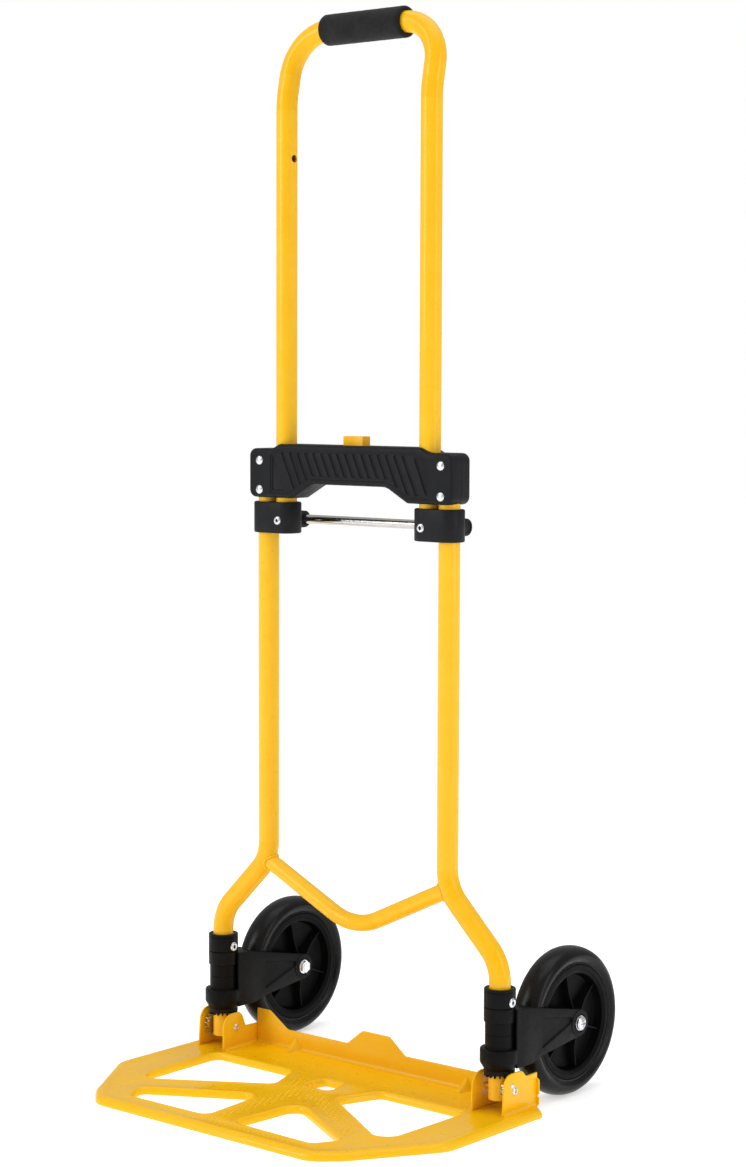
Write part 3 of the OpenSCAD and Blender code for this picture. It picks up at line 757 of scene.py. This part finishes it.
def all_rivets():
    """Every rivet and hinge pin."""
    both = SIDES.values()
    rivets("bridge_rivets", "frame", "y",
           [(k * FRAME_TUBE_X, 0, z) for k in both for z in BRIDGE_RIVET_Z],
           HALF_DEPTH, 2.5, 4.7, 1.5, hollow=False)
    rivets("slider_rivets", "handle", "y",
           [(k * HANDLE_TUBE_X, 0, SLIDER_RIVET_Z) for k in both], HALF_DEPTH, 2.5, 4.5, 1.3)
    rivets("collar_rivets", "frame", "x",
           [(k * LEG_X, 0, COLLAR_RIVET_Z) for k in both], COLLAR_R - 0.1, 2, 5, 1.3)
    rivets("toe_hinge_pins", "toe", "x",
           [(k * LEG_X, 0, HINGE_Z) for k in both], EAR_IN + SHEET, 3, 4.2, 1.3)
    shape = Shape()
    profile = [(1.8, 12), (1.8, 19.75), (3, 19.8), (3.0, 20.2), (2.5, 20.8), (1.5, 21.1),
               (0.4, 21.2)]
    for k in both:
        centre = (k * LEG_X, GEAR_RIVET_Y, HINGE_Z + GEAR_RIVET_UP)
        shape.lathe([(r, k * x) for r, x in profile], centre, "x", 28, closed=False)
    finish_piece(shape.object("gear_rivets_domed"), "zinc_steel", "toe", "gear_rivets", smooth=50)


# ---- The toe plate ----

PLATE_SIDE = ((145, -235, 30), (170, -212, 60), (226, -125, 30), (226, 25, 6), (212, 37, 4))
SIDE_OPENING = ((62, -31, 8), (170, -31, 10), (168, -141, 14), (152, -146, 10), (44, -78, 8))
FRONT_OPENING = ((27, -117, 12), (137, -180, 8), (122, -205, 8), (20, -203, 8))
MIDDLE_OPENING = ((-12, -33, 4), (12, -33, 4), (17, -61, 5), (-17, -61, 5))
PLATE_EDGE = ((0, 0), (0, 1.6), (0.25, 3.2), (1.0, 4.9), (2.2, 6.2), (3.9, 7.2), (6.0, 7.8),
              (8.5, 8.0), (11, 7.7), (13, 7.1), (14.5, 6.9))
OPENING_EDGE = ((0, 0), (0, 1.8), (0.2, 3.6), (0.9, 5.4), (2.0, 6.8), (3.4, 7.5), (4.8, 7.6),
                (6.0, 7.3), (7.2, 6.9))


def toe_plate():
    """Pressed sheet: rolled outer edge, beaded openings, with its deck a little lower."""
    openings = []
    for corners in (SIDE_OPENING, FRONT_OPENING):
        openings += [corners, [(-u, v, radius) for u, v, radius in corners]]
    openings.append(MIDDLE_OPENING)
    shape = Shape()
    tops = [shape.loft(with_mirror(PLATE_SIDE), PLATE_EDGE, flat)[1]]
    for opening in openings:
        tops.append(shape.loft(opening, OPENING_EDGE, flat, hole=True)[1])
    shape.cap(*tops)
    plate = shape.object("toe_plate_pressing")
    thick = plate.modifiers.new("sheet", "SOLIDIFY")
    thick.thickness = SHEET * MM
    thick.offset = -1
    thick.use_even_offset = True
    apply_modifiers(plate)
    finish_piece(plate, "painted_sheet", "toe", "toe_plate", smooth=40)


DOT_LINES = (((-28, -52), (14, -88), 14), ((-6, -92), (-6, -208), 9),
             ((0, -216), (104, -219), 4), ((24, -84), (128, -160), 7))
DOT_PITCH = 6.4
DOT_ROWS = 30
DOT_COLUMNS = range(-8, 22)
DOT_FIRST_Y = -50
DOT_Z = 6.9
DOT_R = 1.5
DOT_FLATNESS = 0.55


def near_line(x, y, line):
    """Whether a place lies within the width of a line on the deck."""
    (x0, y0), (x1, y1), width = line
    run = Vector((x1 - x0, y1 - y0))
    offset = Vector((x - x0, y - y0))
    along = max(0, min(1, offset.dot(run) / run.length_squared))
    return (offset - run * along).length <= width


def grip_dots():
    """Staggered rows of small raised dots on the hub, two spokes and the front bar."""
    shape = Shape()
    for row in range(DOT_ROWS):
        y = DOT_FIRST_Y - row * DOT_PITCH
        for column in DOT_COLUMNS:
            x = (column + (row % 2) / 2) * DOT_PITCH
            if any(near_line(x, y, line) for line in DOT_LINES):
                shape.ball((x, y, DOT_Z), DOT_R, DOT_FLATNESS)
    finish_piece(shape.object("toe_plate_grip_dots"), "painted_sheet", "toe", smooth=60)


# ---- The back flange and the hinge ears ----

WALL_END = 170.2
WALL_Y = 33
WALL = ((-WALL_END, 7, 0.8), (WALL_END, 7, 0.8), (WALL_END, 31, 0.8), (148, 31, 4),
        (138, 28, 4), (40, 27.5, 6), (18.5, 44.5, 4), (-18.5, 44.5, 4), (-40, 27.5, 6),
        (-126, 27.5, 8), (-152, 44.5, 5), (-WALL_END, 44.5, 0.8))
INNER_EAR = ((-20.5, 7, 0.8), (35.2, 7, 0.8), (35.2, 28, 0.8), (14.5, 28.5, 4), (8, 45.5, 9),
             (-20.5, 45.5, 15))
OUTER_EAR = ((-19.5, 7, 0.8), (37, 7, 0.8), (37, 41, 1), (19, 40.5, 5), (12, 47.8, 9),
             (-16.5, 47.8, 13))


FOLD_SUNK = 0.6
FOLD_STEPS = 7


def fillet_strip(shape, start, end, foot, rise, base, way):
    """A concave fillet along a fold, from a foot on the deck to a rise on the wall."""
    rings = []
    for along in (start, end):
        sunk = math.copysign(FOLD_SUNK, rise - foot)
        points = [way(along, rise + sunk, base - FOLD_SUNK)]
        for k in range(FOLD_STEPS + 1):
            angle = math.pi / 2 * k / FOLD_STEPS
            reach = foot + (rise - foot) * math.sin(angle)
            lift = base + abs(rise - foot) * (1 - math.cos(angle))
            points.append(way(along, reach, lift))
        rings.append(shape.ring(points))
    shape.skin(*rings)
    for ring in rings:
        shape.cap(ring)


def gusset(shape, x, width, reach, height):
    """A dart pressed into the fold between the deck and the wall."""
    rows = []
    steps = 10
    for i in range(steps + 1):
        t = i / steps
        ridge = Vector((x, WALL_Y - reach * t, DECK_TOP + height * (1 - t)))
        swell = math.sin(math.pi * t)
        ridge += Vector((0, -0.8, 0.8)) * swell
        forward = max(0, 2 * t - 1) * reach
        upward = max(0, 1 - 2 * t) * height
        foot_y = WALL_Y + 0.4 - forward
        foot_z = 6.6 + upward
        half = 0.4 + (width / 2) * swell
        row = []
        for k in range(-4, 5):
            across = k / 4
            blend = (1 + math.cos(math.pi * across)) / 2
            row.append((x + half * across, foot_y + (ridge.y - foot_y) * blend,
                        foot_z + (ridge.z - foot_z) * blend))
        rows.append(shape.ring(row + [(x, WALL_Y + 1 - forward, 6 + upward)]))
    for a, b in zip(rows, rows[1:]):
        shape.skin(a, b)
    for row in (rows[0], rows[-1]):
        shape.cap(row)


FOLD_R = 3
WIDE_FOLD_R = 4.5
GUSSETS_X = (-113, 123)


def along_y(along, across, height):
    """Lays a fillet that runs along Y."""
    return (across, along, height)


def back_flange():
    """The wall behind the deck with the inner ears, and the soft folds at their feet."""
    shape = Shape()
    shape.slab(WALL, WALL_Y, WALL_Y + SHEET, 0.7, upright)
    for side in SIDES.values():
        inner = side * (LEG_X - EAR_IN)
        low, high = sorted((inner, inner - side * SHEET))
        shape.slab(INNER_EAR, low, high, 0.7, sideways)
    flange = shape.object("back_flange_pressing")
    finish_piece(flange, "painted_sheet", "toe", "back_flange", smooth=40)
    shape = Shape()
    fillet_strip(shape, -169, 169, WALL_Y - WIDE_FOLD_R, WALL_Y, DECK_TOP, flat)
    for side in SIDES.values():
        face = side * (WALL_END - 0.1)
        fillet_strip(shape, -19, WALL_Y, face - side * FOLD_R, face, DECK_TOP, along_y)
        outer = side * (LEG_X + EAR_IN + SHEET)
        fillet_strip(shape, -18.5, 36, outer + side * FOLD_R, outer, DECK_TOP, along_y)
    for x in GUSSETS_X:
        gusset(shape, x, width=22, reach=13, height=14)
    finish_piece(shape.object("fold_gussets"), "painted_sheet", "toe", smooth=60)


def outer_ear(side, name):
    """The outer hinge ear with a narrow return at its rear edge, notched near the foot."""
    inner = side * (LEG_X + EAR_IN)
    low, high = sorted((inner, inner + side * SHEET))
    shape = Shape()
    shape.slab(OUTER_EAR, low, high, 0.7, sideways)
    u, v = side * (LEG_X + EAR_IN + 0.6), side * (LEG_X + EAR_IN + 5.4)
    notch = v - side * 1.8
    strip = ((u, 8, 0.3), (v, 8, 0.8), (v, 15, 0.6), (notch, 16.2, 0.4), (notch, 17.8, 0.4),
             (v, 19, 0.6), (v, 33.5, 1.5), (u, 37, 0.6))
    if side < 0:
        strip = strip[::-1]
    shape.slab(strip, 35.2, 37, 0.5, upright)
    finish_piece(shape.object(name + "_outer_ear_pressing"), "painted_sheet", "toe",
                 name + "_outer_ear", smooth=40)


# ---- The bridge ----

BRIDGE = ((-137.5, 609.5, 8), (-78, 609.5, 4), (-50, 625, 22), (50, 625, 22), (78, 609.5, 4),
          (137.5, 609.5, 8), (137.5, 661, 8), (106, 661, 6), (96, 666, 6), (-96, 666, 6),
          (-106, 661, 6), (-137.5, 661, 8))
PANEL = ((-107, 614.5, 2), (-81, 614.5, 4), (-54, 630, 20), (54, 630, 20), (81, 614.5, 4),
         (107, 614.5, 2), (107, 655, 3), (104, 656.5, 3), (95, 660.5, 4), (-95, 660.5, 4),
         (-104, 656.5, 3), (-107, 655, 3))
GROOVE_COUNT = 16
GROOVE_PITCH = 10.9
GROOVE_LEAN = 0.46
GROOVE_W = 5.2
GROOVE_TOP = 657.5
GROOVE_FIRST_X = -92.5
GROOVE_LOWEST = 618
ARCH_TOP = 633.5
ARCH_HALF = 52
ARCH_SLOPE = 0.574


def groove_foot(top_x):
    """Where a groove from top_x meets the arch, found in two steps from a first guess."""
    low = GROOVE_TOP - 28
    for _ in range(2):
        low_x = top_x + GROOVE_LEAN * (GROOVE_TOP - low)
        past_arch = max(0, abs(low_x) + GROOVE_W / 2 - ARCH_HALF)
        low = max(ARCH_TOP - ARCH_SLOPE * past_arch, GROOVE_LOWEST)
    return top_x + GROOVE_LEAN * (GROOVE_TOP - low), low


def groove_outlines():
    """Slanting grooves that follow the arch, and a wider pocket at each end."""
    grooves = [((-104.5, 653, 1), (-103, 653, 1), (-87, 617.5, 1), (-104.5, 617.5, 1)),
               ((87, 655.5, 1), (104.5, 653, 1), (104.5, 619, 1), (103, 617.5, 1))]
    for k in range(GROOVE_COUNT):
        top_x = GROOVE_FIRST_X + k * GROOVE_PITCH
        low_x, low = groove_foot(top_x)
        grooves.append(((top_x, GROOVE_TOP, 1), (top_x + GROOVE_W, GROOVE_TOP, 1),
                        (low_x + GROOVE_W, low, 1), (low_x, low, 1)))
    return grooves


def bored(piece, x, low, high, r):
    """Bores an upright hole through a piece, in the plane of the legs."""
    shape = Shape()
    shape.lathe([(r, low), (r, high)], (x, 0, 0), "z", 64, closed=False)
    combined(piece, shape.object("cutter"), "DIFFERENCE")


BUTTON_WELL = ((-13.4, -6.4, 0.6), (13.4, -6.4, 0.6), (13.4, 6.4, 0.6), (-13.4, 6.4, 0.6))


def bridge_shell(out, name):
    """Half of the bridge: soft outer edges and a sunk, grooved panel on its face."""
    depth = HALF_DEPTH
    edge = ((0.4, 0), (0, 0.4), (0, depth - 3.4), (0.25, depth - 2.2), (0.95, depth - 1.0),
            (2.1, depth - 0.25), (3.4, depth))
    shape = Shape()
    back, front = shape.loft(BRIDGE, [(inward, out * y) for inward, y in edge], upright)
    shape.cap(back)
    panel = ((0, depth), (0.35, depth - 0.5), (0.8, depth - 0.7))
    panel_top, panel_floor = shape.loft(PANEL, [(d, out * y) for d, y in panel], upright)
    shape.cap(front, panel_top)
    groove = ((0, depth - 0.7), (0.4, depth - 1.5), (0.9, depth - 1.8))
    mouths = []
    for outline in groove_outlines():
        mouth, floor = shape.loft(outline, [(d, out * y) for d, y in groove], upright)
        shape.cap(floor)
        mouths.append(mouth)
    shape.cap(panel_floor, *mouths)
    shell = shape.object(name + "_moulded")
    for side in SIDES.values():
        bored(shell, side * HANDLE_TUBE_X, 600, 680, RUNNING_BORE_R)
        bored(shell, side * FRAME_TUBE_X, 600, 655, 11.05)
    well = Shape()
    well.slab(BUTTON_WELL, 662, 670, 0.1, flat)
    combined(shell, well.object("cutter"), "DIFFERENCE")
    finish_piece(shell, "bridge_plastic", "frame", name, smooth=38)


SLIDER_LOW = 572
SLIDER_HIGH = 605
SLIDER_CORNER_R = 13.5
LUG_R = 8.95
LUG_HALF = 6
LUG_FRONT = 12


def slider(side, name):
    """The clamp of one handle tube, with its bores."""
    r, deep = SLIDER_CORNER_R, HALF_DEPTH
    inner, outer = side * (HANDLE_TUBE_X - deep), side * (FRAME_TUBE_X + deep)
    outline = ((inner, -deep, r), (outer, -deep, r), (outer, deep, r), (inner, deep, r))
    shape = Shape()
    shape.slab(outline if side > 0 else outline[::-1], SLIDER_LOW, SLIDER_HIGH, 1.5, flat)
    clamp = shape.object(name + "_slider_moulded")
    bored(clamp, side * HANDLE_TUBE_X, SLIDER_LOW + 2, 620, TIGHT_BORE_R)
    bored(clamp, side * FRAME_TUBE_X, 560, 620, RUNNING_BORE_R)
    finish_piece(clamp, "bridge_plastic", "handle", name + "_slider", smooth=38)


def rod_lug(side, name):
    """The lug behind a slider, with a raised ring around the rod on both faces."""
    middle = side * (HANDLE_TUBE_X + FRAME_TUBE_X) / 2
    shape = Shape()
    shape.slab(lug_corners(), middle - LUG_HALF, middle + LUG_HALF, 0.8, sideways)
    ring = [(5.1, 0.3), (5.1, -2.0), (7.2, -2.0), (7.2, 0.6), (6.9, 0.9), (5.6, 0.9)]
    for way in (-1, 1):
        shape.lathe([(r, way * LUG_HALF + way * x) for r, x in ring],
                    (middle, ROD_Y, ROD_Z), "x", 48)
    finish_piece(shape.object(name + "_rod_lug"), "bridge_plastic", "handle", smooth=40)


def lug_corners():
    """Side view of the lug that carries the rod, with a round end."""
    r = LUG_R
    front, back = LUG_FRONT, ROD_Y + r
    return ((front, ROD_Z - r, 1), (back, ROD_Z - r, r - 0.1), (back, ROD_Z + r, r - 0.1),
            (front, ROD_Z + r, 1))


# ---- Grip, button and weld beads ----

def foam_grip():
    """A foam sleeve with soft ends and a faintly uneven surface."""
    low, high = low_high("foam_grip")
    centre = (low + high) / 2
    r = (high.y - low.y) / 2
    half = (high.x - low.x) / 2
    profile = [(11.1, -half + 1.2), (11.9, -half), (r - 2.4, -half), (r - 0.9, -half + 0.6),
               (r - 0.15, -half + 2.0)]
    for k in range(25):
        along = (-half + 4) + (2 * half - 8) * k / 24
        profile.append((r - 0.06 - 0.09 * math.sin(k * 1.9) * math.sin(k * 0.7), along))
    profile += [(a, -b) for a, b in reversed(profile[:5])]
    shape = Shape()
    shape.lathe(profile, centre, "x", 96)
    grip = finish_piece(shape.object("foam_grip_sleeve"), "grip_foam", "handle", "foam_grip",
                        smooth=60)


def release_button():
    """The CAD's button with softened edges."""
    button = cad_copy("release_button_moulded", "release_button")
    soften(button, 0.9, 3, 50)
    finish_piece(button, "button_plastic", "button", "release_button", smooth=40)


BRACE_SLOPE = 0.475
BRACE_R = 9.1
BRACE_Z = 162
BEAD_START_X = 85
BEAD_R = 1.7
BEAD_RIPPLE = 0.28
BEAD_STEPS = 72
BEAD_SIDES = 10


def weld_bead(side, name):
    """A rippled bead where the end of the cross brace meets a frame tube."""
    tube = NODES[name + "_frame_tube"].data
    tree = BVHTree.FromPolygons([v.co for v in tube.vertices], [p.vertices for p in tube.polygons])
    along = Vector((side, 0, BRACE_SLOPE)).normalized()
    up = Vector((-BRACE_SLOPE * side, 0, 1)).normalized()
    start = Vector((side * BEAD_START_X, 0, BRACE_Z + BRACE_SLOPE * BEAD_START_X))
    points = []
    for k in range(BEAD_STEPS):
        angle = 2 * math.pi * k / BEAD_STEPS
        ray = start + (up * math.cos(angle) + Vector((0, 1, 0)) * math.sin(angle)) * BRACE_R
        hit = tree.ray_cast(place(ray), along)[0]
        points.append(hit / MM - Vector((0, LEGS_Y, 0)) - along * 0.4)
    shape = Shape()
    rings = []
    for k, point in enumerate(points):
        tangent = (points[(k + 1) % BEAD_STEPS] - points[k - 1]).normalized()
        outward = (point - start).cross(tangent).normalized()
        other = tangent.cross(outward)
        r = BEAD_R + BEAD_RIPPLE * math.sin(k * math.pi / 2.0)
        rings.append(shape.ring([point + (outward * math.cos(a) + other * math.sin(a)) * r
                                 for a in [2 * math.pi * i / BEAD_SIDES
                                           for i in range(BEAD_SIDES)]]))
    for k in range(BEAD_STEPS):
        shape.skin(rings[k - 1], rings[k])
    finish_piece(shape.object(name + "_weld_bead"), "painted_tube", "frame", smooth=70)


set_camera()
set_studio()
set_floor()
dress_cad_nodes()
for name, side in SIDES.items():
    tyre(side, name)
    rim(side, name)
    fork(side, name)
    collar(side, name)
    outer_ear(side, name)
    slider(side, name)
    rod_lug(side, name)
    weld_bead(side, name)
bridge_shell(-1, "bridge_front_shell")
bridge_shell(1, "bridge_rear_shell")
release_button()
foam_grip()
all_rivets()
toe_plate()
grip_dots()
back_flange()
